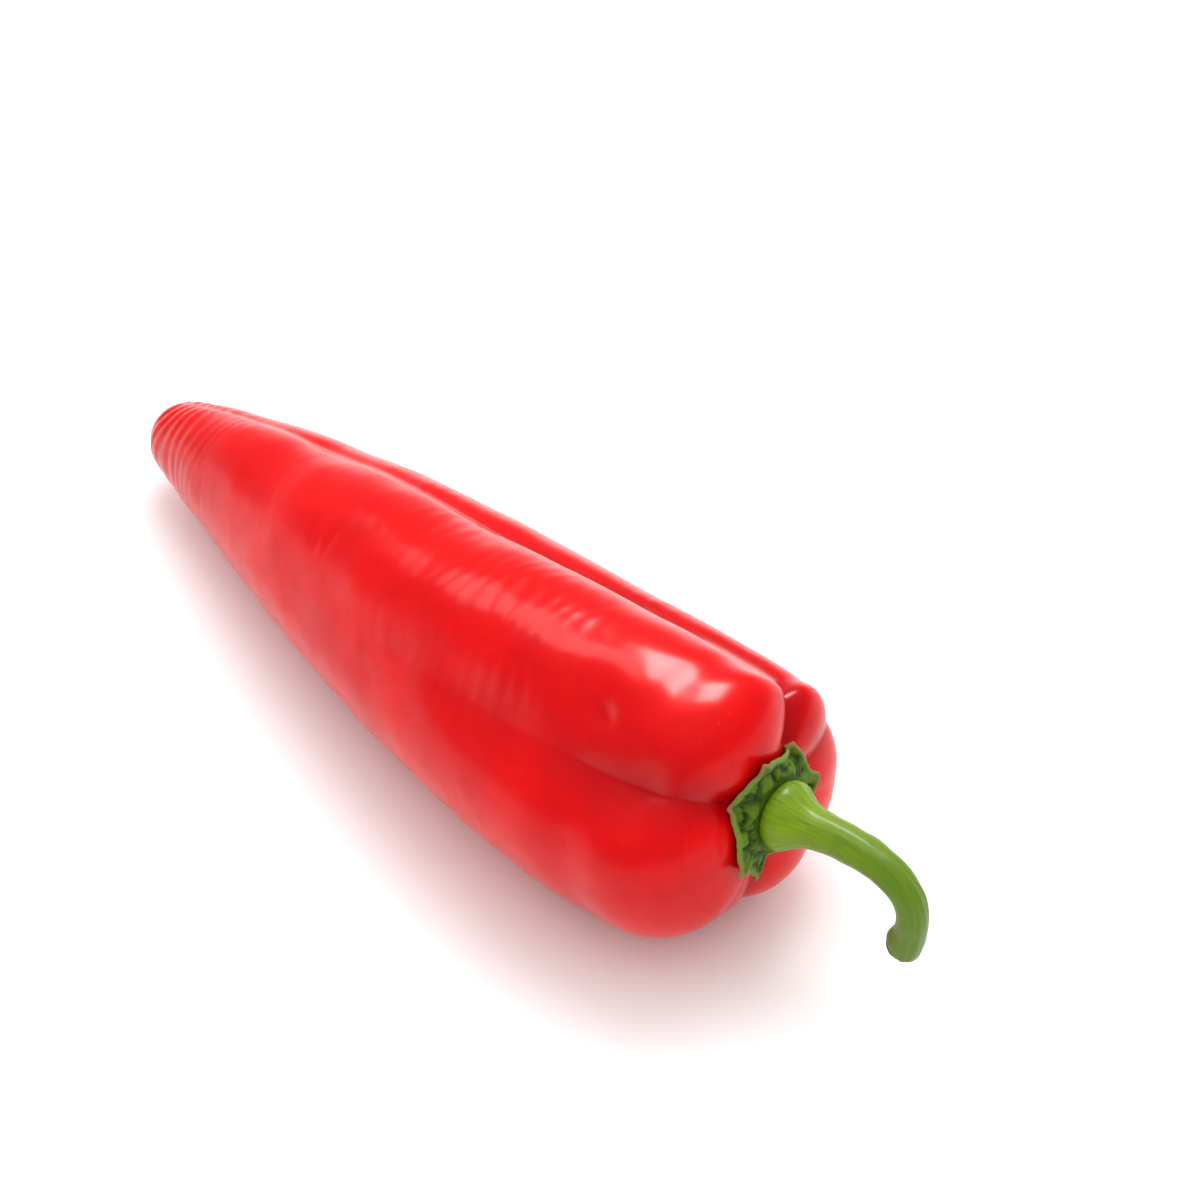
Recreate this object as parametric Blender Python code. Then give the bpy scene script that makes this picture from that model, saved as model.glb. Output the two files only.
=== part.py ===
"""A long, pointed sweet pepper lying on its side, with its calyx and its cut stem.

The fruit's spine runs from the stem end towards the tip, and every section is set square to it.
X runs along the pepper towards the stem, Z is up, and the floor is at Z = 0.
"""

import bmesh
import bpy
import numpy as np
from mathutils import Vector
from mathutils.geometry import interpolate_bezier

# ---- Sizes, in metres and degrees ----

FRUIT_LENGTH = 0.201
FRUIT_WIDTH = 0.0690
SHOULDER_LENGTH = 0.030      # from the stem end to the widest section
SHOULDER_FULLNESS = 4.0      # 2 is an ellipse, more is squarer
CREST_RADIUS = 0.0150        # the ring where the stem end turns into the basin
BASIN_DEPTH = 0.0020
TIP_RADIUS = 0.0065          # the rounded end
TIP_ROUNDING = 0.0070        # length over which the tip rounds off
TAPER_POWER = 1.43           # how late the body starts to narrow
TAPER_FULLNESS = 0.85        # how full it stays before the tip

SIDE_BOW = 0.0060            # how far the spine bows towards -Y
TIP_DROOP = 0.0200           # how far the spine falls at the tip
DROOP_POWER = 1.7            # how late it starts to fall
END_RISE = 0.0042            # how far the stem end's middle sits above the spine
RISE_REACH = 0.011           # how far along the body that rise fades out
END_TURN = 0.10              # slope of the stem end towards -Y, against a square cut
END_LIFT = 0.12              # and upwards
END_REACH = 0.045            # how far along the body those slopes fade out

FLAT_DEPTH = 0.0006          # how deep the belly is pressed flat where the pepper rests

GROOVE_TWIST = 22.0          # how far a groove would turn from the stem end to the tip
GROOVE_START = 0.012         # length over which a groove deepens to its full depth
CREST_GROOVE = 0.35          # share of its depth that a groove has at the crest
GROOVE_RECESS = 0.013        # how far a groove of full depth pulls the crest back
RECESS_REACH = 0.010         # how far along the body that recess fades out
RECESS_POWER = 1.3           # how late it fades
BROAD_WIDTH = 24.0           # half width of a groove's soft valley
CREASE_WIDTH = 9.0           # half width of the sharp crease along its bottom
CREASE_DEPTH = 0.35          # share of the depth that is the crease
CREASE_REACH = 0.6           # share of the groove's length that is creased
FADE_POWER = 1.6             # how late a groove fades along the body

# Each groove between two lobes: its angle from +Y towards +Z, its depth as a share of the
# radius, its width against the usual one, and how far it runs along the body.
GROOVES = (
    (50.0, 0.30, 1.0, 0.130),
    (6.0, 0.22, 1.0, 0.090),
    (256.0, 0.28, 0.75, 0.055),
    (236.0, 0.08, 0.45, 0.045),
    (141.0, 0.28, 1.0, 0.110),
)

CLEARANCE = 0.0003           # gap between pieces that touch
CALYX_EDGE = 0.0011          # thickness of the calyx near its rim
EDGE_POWER = 8               # how close to the rim it starts to round off
CALYX_PLATEAU = 0.0010       # how far its flat middle stands out past the crest
PLATEAU_MARGIN = 0.0004      # how much wider the flat middle is than the stem's foot
PLATEAU_BLEND = 0.0030       # width of the slope from the flat middle to the rim
NOTCH = 0.0026               # how deep the calyx edge curves in between two teeth, per radian

# The points of the calyx: angle and distance from its middle.
TEETH = (
    (-2.0, 0.0142),
    (46.0, 0.0150),
    (105.0, 0.0165),
    (144.0, 0.0159),
    (200.0, 0.0156),
    (235.0, 0.0152),
    (300.0, 0.0145),
)

STEM_FOOT_RADIUS = 0.0074
STEM_NECK_RADIUS = 0.0043    # just outside the foot's flare
STEM_RADIUS = 0.0030         # near the cut end
STEM_KNOB_RADIUS = 0.0036    # at the cut end
STEM_FLARE = 0.0060          # length of the foot's flare
STEM_KNOB = 0.0060           # length of the swelling at the cut end
STEM_REACH = 0.0315
STEM_DRIFT = 0.0050          # how far the stem wanders towards +Y
STEM_DROP = 0.0200

# The stem's two curves, as shares of its reach, drift and drop: where they meet, where they
# end, and the handles at both places.
STEM_BEND = (0.85, 0.85, -0.03)
STEM_END = (0.97, 1.00, -1.00)
BEND_HANDLE = (0.26, 0.16, -0.17)
END_HANDLE = (0.09, 0.00, 0.42)
FOOT_HANDLE = 0.35           # length of the handle at the foot
BEND_OUT = 0.78              # length of the bend's second handle against its first

FRUIT_SEGMENTS, FRUIT_RINGS = 80, 60
CALYX_SEGMENTS, CALYX_RINGS = 98, 18
STEM_POINTS = 30
STEM_SIDES = 8               # Blender's bevel resolution
BASIN_SHARE, SHOULDER_SHARE = 0.14, 0.42   # shares of the fruit's rings, counted from the stem end
SHOULDER_SPACING, BODY_SPACING = 1.6, 1.5  # above 1, rings crowd at the crest and at the tip


# ---- The fruit's shape ----

def smooth(start, end, value):
    """Smoothstep from 0 at start to 1 at end."""
    share = np.clip((value - start) / (end - start), 0, 1)
    return share * share * (3 - 2 * share)


def stem_end(radius):
    """How far along the spine the stem end lies at a radius: a cosine bowl, then a superellipse."""
    basin = np.cos(np.pi / 2 * np.clip(radius / CREST_RADIUS, 0, 1)) ** 2
    out = np.clip((radius - CREST_RADIUS) / (FRUIT_WIDTH / 2 - CREST_RADIUS), 0, 1)
    return BASIN_DEPTH * basin + SHOULDER_LENGTH * (1 - (1 - out**2) ** (1 / SHOULDER_FULLNESS))


def body_profile(share):
    """Distance along the spine and radius, from the basin's middle (0) to the tip (1).

    Past the stem end, the radius falls as a power of 1 minus a power, and rounds off as an ellipse.
    """
    half = FRUIT_WIDTH / 2
    basin = share / BASIN_SHARE
    shoulder = np.clip((share - BASIN_SHARE) / (SHOULDER_SHARE - BASIN_SHARE), 0, 1)
    shoulder = shoulder**SHOULDER_SPACING
    body = np.clip((share - SHOULDER_SHARE) / (1 - SHOULDER_SHARE), 0, 1)
    body = 1 - (1 - body) ** BODY_SPACING
    swell = np.sqrt(1 - (1 - shoulder) ** SHOULDER_FULLNESS)
    taper = (1 - body**TAPER_POWER) ** TAPER_FULLNESS
    radius = np.select(
        [share < BASIN_SHARE, share < SHOULDER_SHARE],
        [CREST_RADIUS * basin, CREST_RADIUS + (half - CREST_RADIUS) * swell],
        TIP_RADIUS + (half - TIP_RADIUS) * taper,
    )
    length = SHOULDER_LENGTH + (FRUIT_LENGTH - SHOULDER_LENGTH) * body
    along = np.where(share < SHOULDER_SHARE, stem_end(radius), length)
    past = np.clip((along - FRUIT_LENGTH) / TIP_ROUNDING + 1, 0, 1)
    return along, radius * np.sqrt(1 - past**2)


def groove_depth(angle, along):
    """Sum of the grooves at each angle and distance: a soft valley with a sharp crease in it."""
    total = np.zeros(np.broadcast(angle, along).shape)
    for centre, depth, width, reach in GROOVES:
        turned = centre + GROOVE_TWIST * along / FRUIT_LENGTH
        away = np.abs((angle - turned + 180) % 360 - 180)
        valley = (1 - CREASE_DEPTH) * np.exp(-((away / (BROAD_WIDTH * width)) ** 2))
        crease = CREASE_DEPTH * np.exp(-away / (CREASE_WIDTH * width) - along / (CREASE_REACH * reach))
        total += depth * np.exp(-((along / reach) ** FADE_POWER)) * (valley + crease)
    return total


def on_spine(along, radius, angle):
    """Points at a distance along the spine, and a radius and an angle round it."""
    share = along / FRUIT_LENGTH
    fallen = np.clip(share, 0, 1)
    bow = SIDE_BOW * 27 / 4     # the bow's curve peaks at 4/27
    centre = np.stack([
        -along,
        -bow * share * (1 - share) ** 2,
        END_RISE * np.exp(-((along / RISE_REACH) ** 2)) - TIP_DROOP * fallen**DROOP_POWER,
    ], axis=-1)
    run = np.stack([
        np.full_like(share, FRUIT_LENGTH),
        bow * (1 - share) * (1 - 3 * share),
        DROOP_POWER * TIP_DROOP * fallen ** (DROOP_POWER - 1),
    ], axis=-1)
    run /= np.linalg.norm(run, axis=-1, keepdims=True)
    side = np.stack([-run[..., 1], run[..., 0], np.zeros_like(share)], axis=-1)
    side /= np.linalg.norm(side, axis=-1, keepdims=True)
    above = np.cross(run, side)
    turn = np.radians(angle)[..., None]
    return centre + radius[..., None] * (side * np.cos(turn) + above * np.sin(turn))


def end_slope(radius, angle):
    """How far the sloping stem end lies towards the tip, at a radius and an angle."""
    turn = np.radians(angle)
    return radius * (END_LIFT * np.sin(turn) - END_TURN * np.cos(turn))


def fruit_surface(along, radius, angle, in_basin, outwards=0.0):
    """Points of the fruit's skin, or of a surface that stands outwards from its stem end."""
    past_crest = np.where(in_basin, 0, along)
    depth = groove_depth(angle, past_crest)
    depth = depth * np.where(in_basin, (radius / CREST_RADIUS) ** 2, 1)
    deepened = CREST_GROOVE + (1 - CREST_GROOVE) * smooth(0, GROOVE_START, past_crest)
    grooved = radius * (1 - depth * deepened)
    recess = GROOVE_RECESS * depth * np.exp(-((past_crest / RECESS_REACH) ** RECESS_POWER))
    slope = end_slope(grooved, angle) * np.exp(-((past_crest / END_REACH) ** 2))
    return on_spine(along + recess + slope - outwards, grooved, angle)


# ---- Making the meshes ----

def sphere_object(name, segments, rings, shape, material):
    """A UV sphere whose points are moved to shape(share from the first pole, angle)."""
    mesh_maker = bmesh.new()
    bmesh.ops.create_uvsphere(mesh_maker, u_segments=segments, v_segments=rings, radius=1)
    points = np.array([vertex.co for vertex in mesh_maker.verts])
    share = np.arccos(np.clip(points[:, 2], -1, 1)) / np.pi
    angle = np.degrees(np.arctan2(points[:, 1], points[:, 0])) % 360
    for vertex, place in zip(mesh_maker.verts, shape(share, angle)):
        vertex.co = place
    mesh = bpy.data.meshes.new(name)
    mesh_maker.to_mesh(mesh)
    mesh_maker.free()
    mesh.polygons.foreach_set("use_smooth", [True] * len(mesh.polygons))
    return add_object(name, mesh, material)


def add_object(name, data, material):
    data.materials.append(material)
    thing = bpy.data.objects.new(name, data)
    pepper.objects.link(thing)
    return thing


def plain_material(name, colour, roughness):
    material = bpy.data.materials.new(name)
    material.use_nodes = True
    shader = material.node_tree.nodes["Principled BSDF"]
    shader.inputs["Base Color"].default_value = (*colour, 1)
    shader.inputs["Roughness"].default_value = roughness
    shader.inputs["Metallic"].default_value = 0.0
    material.diffuse_color = (*colour, 1)
    return material


# ---- Fruit ----

def fruit_shape(share, angle):
    along, radius = body_profile(share)
    return fruit_surface(along, radius, angle, share < BASIN_SHARE)


# ---- Calyx: a thin star that hugs the stem end ----

def calyx_edge(angle):
    """Radius of the star's edge: straight between two teeth, less a notch that peaks half way."""
    edge = np.zeros_like(angle)
    for (start, near), (end, far) in zip(TEETH, TEETH[1:] + ((TEETH[0][0] + 360, TEETH[0][1]),)):
        share = ((angle - start) % 360) / (end - start)
        arc = np.radians(end - start)
        between = near + (far - near) * share - NOTCH * arc * np.sin(np.pi * np.clip(share, 0, 1))
        edge = np.where(share < 1, between, edge)
    return edge


def calyx_shape(share, angle):
    """The star's outer face on the first half of the rings, and its under side on the rest."""
    outer = share <= 0.5
    reach = np.where(outer, share, 1 - share) / 0.5
    radius = calyx_edge(angle) * np.sin(np.pi / 2 * reach)
    rounded = CALYX_EDGE * np.sqrt(np.clip(1 - np.sin(np.pi / 2 * reach) ** EDGE_POWER, 0, 1))
    under = CLEARANCE + 0.5 * (CALYX_EDGE - rounded)
    hugging = under + rounded
    plateau = STEM_FOOT_RADIUS + PLATEAU_MARGIN
    flat = 1 - smooth(plateau, plateau + PLATEAU_BLEND, radius)
    outwards = np.where(outer, hugging, under)
    hugged = fruit_surface(stem_end(radius), radius, angle, radius < CREST_RADIUS, outwards)
    level = on_spine(end_slope(radius, angle) - CALYX_PLATEAU, radius, angle)
    return np.where(outer[:, None], hugged + (level - hugged) * flat[:, None], hugged)


# ---- Stem: a curved stalk that flares at its foot and swells at its cut end ----

def level_point(radius, angle):
    """A point of the plane in which the stem's foot stands, clear of the calyx."""
    radius = np.array([radius])
    angle = np.array([angle])
    return Vector(on_spine(end_slope(radius, angle) - CALYX_PLATEAU - CLEARANCE, radius, angle)[0])


def stem_curve(material):
    foot = level_point(0.0, 0.0)
    right = level_point(STEM_FOOT_RADIUS, 0.0) - foot
    top = level_point(STEM_FOOT_RADIUS, 90.0) - foot
    out_handle = foot + right.cross(top).normalized() * FOOT_HANDLE * STEM_REACH
    size = np.array([STEM_REACH, STEM_DRIFT, STEM_DROP])
    bend = foot + Vector(STEM_BEND * size)
    bend_handle = Vector(BEND_HANDLE * size)
    end = foot + Vector(STEM_END * size)
    end_handle = end + Vector(END_HANDLE * size)
    half = STEM_POINTS // 2
    first = interpolate_bezier(foot, out_handle, bend - bend_handle, bend, half)
    second = interpolate_bezier(bend, bend + bend_handle * BEND_OUT, end_handle, end, half + 1)
    points = np.array(first + second[1:])
    gone = np.concatenate([[0], np.cumsum(np.linalg.norm(np.diff(points, axis=0), axis=1))])
    left = gone[-1] - gone
    radii = STEM_NECK_RADIUS + (STEM_RADIUS - STEM_NECK_RADIUS) * gone / gone[-1]
    radii += (STEM_FOOT_RADIUS - STEM_NECK_RADIUS) * np.exp(-((gone / STEM_FLARE) ** 2))
    radii += (STEM_KNOB_RADIUS - STEM_RADIUS) * np.exp(-((left / STEM_KNOB) ** 2))

    curve = bpy.data.curves.new("stem", "CURVE")
    curve.dimensions = "3D"
    curve.bevel_depth = 1.0
    curve.bevel_resolution = STEM_SIDES
    curve.use_fill_caps = True
    spline = curve.splines.new("POLY")
    spline.points.add(len(points) - 1)
    for point, place, radius in zip(spline.points, points, radii):
        point.co = (*place, 1)
        point.radius = radius
    return add_object("stem", curve, material)


# ---- Setting it on the floor ----

def corners(things):
    """Lowest and highest corner of the objects as Blender evaluates them."""
    bpy.context.view_layer.update()
    graph = bpy.context.evaluated_depsgraph_get()
    points = np.array([
        thing.matrix_world @ vertex.co
        for thing in things
        for vertex in thing.evaluated_get(graph).to_mesh().vertices
    ])
    return points.min(axis=0), points.max(axis=0)


def set_down(fruit, others):
    """Moves every piece so that the belly dips below the floor, and presses that part flat."""
    low, _ = corners([fruit])
    ends_low, ends_high = corners([fruit, *others])
    middle = (ends_low + ends_high) / 2
    shift = Vector((-middle[0], -middle[1], -low[2] - FLAT_DEPTH))
    for thing in (fruit, *others):
        thing.location = shift
    for vertex in fruit.data.vertices:
        vertex.co.z = max(vertex.co.z, -shift.z)


for old in list(bpy.data.objects):
    bpy.data.objects.remove(old, do_unlink=True)

pepper = bpy.data.collections.new("pepper")
bpy.context.scene.collection.children.link(pepper)

skin = plain_material("red_skin", (0.62, 0.012, 0.010), 0.22)
leaf = plain_material("calyx_green", (0.045, 0.115, 0.020), 0.60)
stalk = plain_material("stem_green", (0.155, 0.300, 0.035), 0.40)

fruit = sphere_object("fruit", FRUIT_SEGMENTS, FRUIT_RINGS, fruit_shape, skin)
calyx = sphere_object("calyx", CALYX_SEGMENTS, CALYX_RINGS, calyx_shape, leaf)
stem = stem_curve(stalk)
set_down(fruit, (calyx, stem))
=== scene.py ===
"""A long, pointed sweet pepper lying on its side in a bright studio: fruit, calyx and stem."""

import bpy
import numpy as np
from mathutils import Matrix, Vector


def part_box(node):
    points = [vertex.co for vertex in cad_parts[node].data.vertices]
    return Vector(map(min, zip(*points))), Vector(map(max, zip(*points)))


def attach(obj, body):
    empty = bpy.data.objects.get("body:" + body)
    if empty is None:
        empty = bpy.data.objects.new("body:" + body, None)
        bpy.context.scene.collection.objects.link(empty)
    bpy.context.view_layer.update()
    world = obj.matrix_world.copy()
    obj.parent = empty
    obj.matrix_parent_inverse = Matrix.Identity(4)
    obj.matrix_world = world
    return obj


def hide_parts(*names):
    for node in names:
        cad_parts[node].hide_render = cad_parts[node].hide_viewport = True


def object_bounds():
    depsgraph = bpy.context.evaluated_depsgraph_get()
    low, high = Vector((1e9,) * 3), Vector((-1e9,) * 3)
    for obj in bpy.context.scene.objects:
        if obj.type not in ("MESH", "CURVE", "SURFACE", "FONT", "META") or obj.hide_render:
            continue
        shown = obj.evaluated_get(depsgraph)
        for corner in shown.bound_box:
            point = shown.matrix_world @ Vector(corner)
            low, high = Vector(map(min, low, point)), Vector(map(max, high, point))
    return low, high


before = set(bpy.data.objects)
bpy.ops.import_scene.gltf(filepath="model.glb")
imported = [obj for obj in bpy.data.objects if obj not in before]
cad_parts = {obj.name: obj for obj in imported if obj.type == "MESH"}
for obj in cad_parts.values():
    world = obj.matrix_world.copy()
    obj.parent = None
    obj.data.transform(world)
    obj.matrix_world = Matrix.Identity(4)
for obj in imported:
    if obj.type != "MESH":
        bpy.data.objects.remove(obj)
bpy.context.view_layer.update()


# ---- Fruit ----
# The real fruit is one waxy red skin over a thick, wet wall. It grew in lobes that meet in
# grooves at the stem end and run out towards a blunt tip, where the skin stopped growing first
# and is gathered into rings. It lies on a flat spot of its belly.

FRUIT_LENGTH = 0.201
FRUIT_WIDTH = 0.0690
SHOULDER_LENGTH = 0.030      # from the stem end to the widest section
SHOULDER_FULLNESS = 4.0      # 2 is an ellipse, more is squarer
CREST_RADIUS = 0.0150        # the ring where the stem end turns into the basin
BASIN_DEPTH = 0.0020
TIP_RADIUS = 0.0065          # the rounded end
TIP_ROUNDING = 0.0070        # length over which the tip rounds off
TAPER_POWER = 1.43           # how late the body starts to narrow
TAPER_FULLNESS = 0.85        # how full it stays before the tip

SIDE_BOW = 0.0060            # how far the spine bows towards -Y
TIP_DROOP = 0.0200           # how far the spine falls at the tip
DROOP_POWER = 1.7            # how late it starts to fall
END_RISE = 0.0042            # how far the stem end's middle sits above the spine
RISE_REACH = 0.011           # how far along the body that rise fades out
END_TURN = 0.10              # slope of the stem end towards -Y, against a square cut
END_LIFT = 0.12              # and upwards
END_REACH = 0.045            # how far along the body those slopes fade out

GROOVE_TWIST = 22.0          # degrees that a groove would turn from the stem end to the tip
GROOVE_START = 0.012         # length over which a groove deepens to its full depth
CREST_GROOVE = 0.35          # share of its depth that a groove has at the crest
GROOVE_RECESS = 0.013        # how far a groove of full depth pulls the crest back
RECESS_REACH = 0.010         # how far along the body that recess fades out
RECESS_POWER = 1.3           # how late it fades
BROAD_WIDTH = 24.0           # half width of a groove's soft valley, in degrees
CREASE_WIDTH = 9.0           # and of the sharp crease along its bottom
CREASE_DEPTH = 0.35          # share of the depth that is the crease
CREASE_REACH = 0.22          # share of the groove's length that is creased
FADE_POWER = 1.6             # how late a groove fades along the body

# Each groove: its angle in degrees from +Y towards +Z, its depth as a share of the radius, its
# width against the usual one, and how far it runs along the body. The narrow ones are a line
# along the first groove and short puckers.
GROOVES = (
    (50.0, 0.30, 1.0, 0.145),
    (6.0, 0.22, 1.0, 0.090),
    (256.0, 0.28, 0.75, 0.055),
    (236.0, 0.08, 0.45, 0.045),
    (141.0, 0.28, 1.0, 0.110),
    (50.0, 0.11, 0.30, 0.165),
    (300.0, 0.04, 0.35, 0.006),
    (335.0, 0.03, 0.30, 0.005),
)

# Each dent: its distance along the fruit, angle, half length, half width and depth. A depth
# below 0 is a swelling.
DENTS = (
    (0.0255, 124.0, 0.0030, 0.0034, 0.00110),
    (0.0275, 122.0, 0.0080, 0.0065, 0.00140),
    (0.0060, 152.0, 0.0040, 0.0050, -0.00045),
    (0.0120, 148.0, 0.0040, 0.0060, 0.00045),
    (0.0146, 97.0, 0.0048, 0.0170, 0.00120),
    (0.0230, 98.0, 0.0080, 0.0120, -0.00015),
    (0.0370, 118.0, 0.0060, 0.0140, -0.00030),
    (0.0400, 96.0, 0.0100, 0.0150, 0.00060),
    (0.0240, 185.0, 0.0060, 0.0200, 0.00085),
    (0.0120, 196.0, 0.0090, 0.0140, -0.00060),
    (0.0180, 335.0, 0.0050, 0.0140, 0.00060),
    (0.0200, 290.0, 0.0060, 0.0150, 0.00050),
    (0.0220, 75.0, 0.0050, 0.0100, 0.00040),
    (0.0900, 168.0, 0.0200, 0.0040, 0.00030),
    (0.1120, 124.0, 0.0009, 0.0045, 0.00016),
    (0.1155, 132.0, 0.0010, 0.0030, 0.00014),
)

LUMP_SIZE, LUMP_HEIGHT = 0.036, 0.00020      # soft swellings all over the body
KNOLL_SIZE, KNOLL_HEIGHT = 0.013, 0.00006    # and smaller ones
RELIEF_START = (0.002, 0.016)                # where they rise from nothing to their full height

RING_SPACING = 0.0034        # between two wrinkles at the tip
RING_HEIGHT = 0.00010
RING_REACH = 0.026
RING_FADE = 0.004            # length over which they die out at the very tip
RING_WANDER, RING_WANDER_SIZE = 1.7, 0.014   # how many radians they stray, and over what length

RIPPLE_SPACING = 0.0042      # between two fine cross wrinkles on the body
RIPPLE_HEIGHT = 0.000080
RIPPLE_START = (0.030, 0.045)   # distances along between which they fade in
RIPPLE_END = (0.100, 0.135)     # and between which their patches fade out
RIPPLE_WANDER, RIPPLE_WANDER_SIZE = 1.6, 0.018
RIPPLE_SLANT = 0.04          # radians of a ripple for each degree round the body
EVEN_RIPPLE = 0.12           # share of its height that a ripple has everywhere
PATCH_RIPPLE, PATCH_SIZE = 0.5, 0.026   # share that patches add, and how wide they are
PATCH_EDGE = (0.3, 1.5)      # heights of the waves between which a patch fades in

# Places where the skin is plainly rippled: distance along, angle, half length and half width.
RIPPLED = (
    (0.060, 103.0, 0.018, 0.012),
    (0.048, 124.0, 0.012, 0.009),
    (0.085, 250.0, 0.020, 0.012),
)

FRUIT_COLUMNS, FRUIT_ROWS = 296, 332
BASIN_SHARE, SHOULDER_SHARE = 0.10, 0.36     # shares of the rows, counted from the stem end
SHOULDER_SPACING, BODY_SPACING = 1.6, 1.35   # above 1, rows crowd at the crest and at the tip

DEEP_GROOVE = 0.30           # depth of a groove that has its full painted shade
END_TINT = 0.010             # how far the stem end's duller wax reaches along the body

RIPE_RED = (0.80, 0.001, 0.002, 1)
DARK_RED = (0.68, 0.001, 0.003, 1)
MOTTLED_RED = (0.60, 0.004, 0.006, 1)
# Painted shade: the red that the grooves darken towards.
GROOVE_SHADE_RED = (0.33, 0.001, 0.004, 1)
FLECK_ORANGE = (0.85, 0.10, 0.05, 1)
TIP_RED = (0.50, 0.012, 0.016, 1)


def smooth(start, end, value):
    """Smoothstep from 0 at start to 1 at end."""
    share = np.clip((value - start) / (end - start), 0, 1)
    return share * share * (3 - 2 * share)


def hill(distance, width):
    """A bell of height 1 whose height is 1/e at width."""
    return np.exp(-((distance / width) ** 2))


def turned_from(angle, centre):
    """Degrees from centre to angle, the short way round."""
    return (angle - centre + 180) % 360 - 180


def waves(points, size, seed, count=28):
    """Soft lumps about a size across: plane waves in random directions, added, with variance 1."""
    draw = np.random.default_rng(seed)
    directions = draw.normal(size=(count, 3))
    directions /= np.linalg.norm(directions, axis=1, keepdims=True)
    lengths = size * draw.uniform(0.7, 1.6, count)
    phases = draw.uniform(0, 2 * np.pi, count)
    turns = points @ (directions * (2 * np.pi / lengths[:, None])).T + phases
    return np.sin(turns).sum(axis=-1) / np.sqrt(count / 2)


def stem_end(radius):
    """How far along the spine the stem end lies at a radius: a cosine bowl, then a superellipse."""
    basin = np.cos(np.pi / 2 * np.clip(radius / CREST_RADIUS, 0, 1)) ** 2
    out = np.clip((radius - CREST_RADIUS) / (FRUIT_WIDTH / 2 - CREST_RADIUS), 0, 1)
    return BASIN_DEPTH * basin + SHOULDER_LENGTH * (1 - (1 - out**2) ** (1 / SHOULDER_FULLNESS))


def body_profile(share):
    """Distance along the spine and radius, from the basin's middle (0) to the tip (1).

    Past the stem end, the radius falls as a power of 1 minus a power, and rounds off as an ellipse.
    """
    half = FRUIT_WIDTH / 2
    basin = share / BASIN_SHARE
    shoulder = np.clip((share - BASIN_SHARE) / (SHOULDER_SHARE - BASIN_SHARE), 0, 1)
    shoulder = shoulder**SHOULDER_SPACING
    body = np.clip((share - SHOULDER_SHARE) / (1 - SHOULDER_SHARE), 0, 1)
    body = 1 - (1 - body) ** BODY_SPACING
    swell = np.sqrt(1 - (1 - shoulder) ** SHOULDER_FULLNESS)
    taper = (1 - body**TAPER_POWER) ** TAPER_FULLNESS
    radius = np.select(
        [share < BASIN_SHARE, share < SHOULDER_SHARE],
        [CREST_RADIUS * basin, CREST_RADIUS + (half - CREST_RADIUS) * swell],
        TIP_RADIUS + (half - TIP_RADIUS) * taper,
    )
    length = SHOULDER_LENGTH + (FRUIT_LENGTH - SHOULDER_LENGTH) * body
    along = np.where(share < SHOULDER_SHARE, stem_end(radius), length)
    past = np.clip((along - FRUIT_LENGTH) / TIP_ROUNDING + 1, 0, 1)
    return along, radius * np.sqrt(1 - past**2)


def groove_depth(angle, along):
    """Sum of the grooves at each angle and distance: a soft valley with a sharp crease in it."""
    total = np.zeros(np.broadcast(angle, along).shape)
    for centre, depth, width, reach in GROOVES:
        away = np.abs(turned_from(angle, centre + GROOVE_TWIST * along / FRUIT_LENGTH))
        valley = (1 - CREASE_DEPTH) * hill(away, BROAD_WIDTH * width)
        crease = CREASE_DEPTH * np.exp(-away / (CREASE_WIDTH * width) - along / (CREASE_REACH * reach))
        total += depth * np.exp(-((along / reach) ** FADE_POWER)) * (valley + crease)
    return total


def on_spine(along, radius, angle):
    """Points at a distance along the spine, and a radius and an angle round it.

    The spine bows as a cubic and falls as a power; each section is square to it.
    """
    share = along / FRUIT_LENGTH
    fallen = np.clip(share, 0, 1)
    bow = SIDE_BOW * 27 / 4     # the bow's curve peaks at 4/27
    centre = np.stack([
        -along,
        -bow * share * (1 - share) ** 2,
        END_RISE * hill(along, RISE_REACH) - TIP_DROOP * fallen**DROOP_POWER,
    ], axis=-1)
    run = np.stack([
        np.full_like(share, FRUIT_LENGTH),
        bow * (1 - share) * (1 - 3 * share),
        DROOP_POWER * TIP_DROOP * fallen ** (DROOP_POWER - 1),
    ], axis=-1)
    run /= np.linalg.norm(run, axis=-1, keepdims=True)
    side = np.stack([-run[..., 1], run[..., 0], np.zeros_like(share)], axis=-1)
    side /= np.linalg.norm(side, axis=-1, keepdims=True)
    above = np.cross(run, side)
    turn = np.radians(angle)[..., None]
    return centre + radius[..., None] * (side * np.cos(turn) + above * np.sin(turn))


def end_slope(radius, angle):
    """How far the sloping stem end lies towards the tip, at a radius and an angle."""
    turn = np.radians(angle)
    return radius * (END_LIFT * np.sin(turn) - END_TURN * np.cos(turn))


def fruit_surface(along, radius, angle, in_basin, outwards=0.0):
    """Points of the fruit's skin, or of a surface that stands outwards from its stem end."""
    past_crest = np.where(in_basin, 0, along)
    depth = groove_depth(angle, past_crest)
    depth = depth * np.where(in_basin, (radius / CREST_RADIUS) ** 2, 1)
    deepened = CREST_GROOVE + (1 - CREST_GROOVE) * smooth(0, GROOVE_START, past_crest)
    grooved = radius * (1 - depth * deepened)
    recess = GROOVE_RECESS * depth * np.exp(-((past_crest / RECESS_REACH) ** RECESS_POWER))
    slope = end_slope(grooved, angle) * hill(past_crest, END_REACH)
    return on_spine(along + recess + slope - outwards, grooved, angle)


def outward(points):
    """Unit normals of a grid that closes round its columns, from the slopes along and across it."""
    across = np.roll(points, -1, axis=1) - np.roll(points, 1, axis=1)
    down = np.gradient(points, axis=0)
    normals = np.cross(down, across)
    normals /= np.maximum(np.linalg.norm(normals, axis=-1, keepdims=True), 1e-12)
    normals[0] = normals[1].mean(axis=0)
    normals[-1] = normals[-2].mean(axis=0)
    return normals


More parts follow.
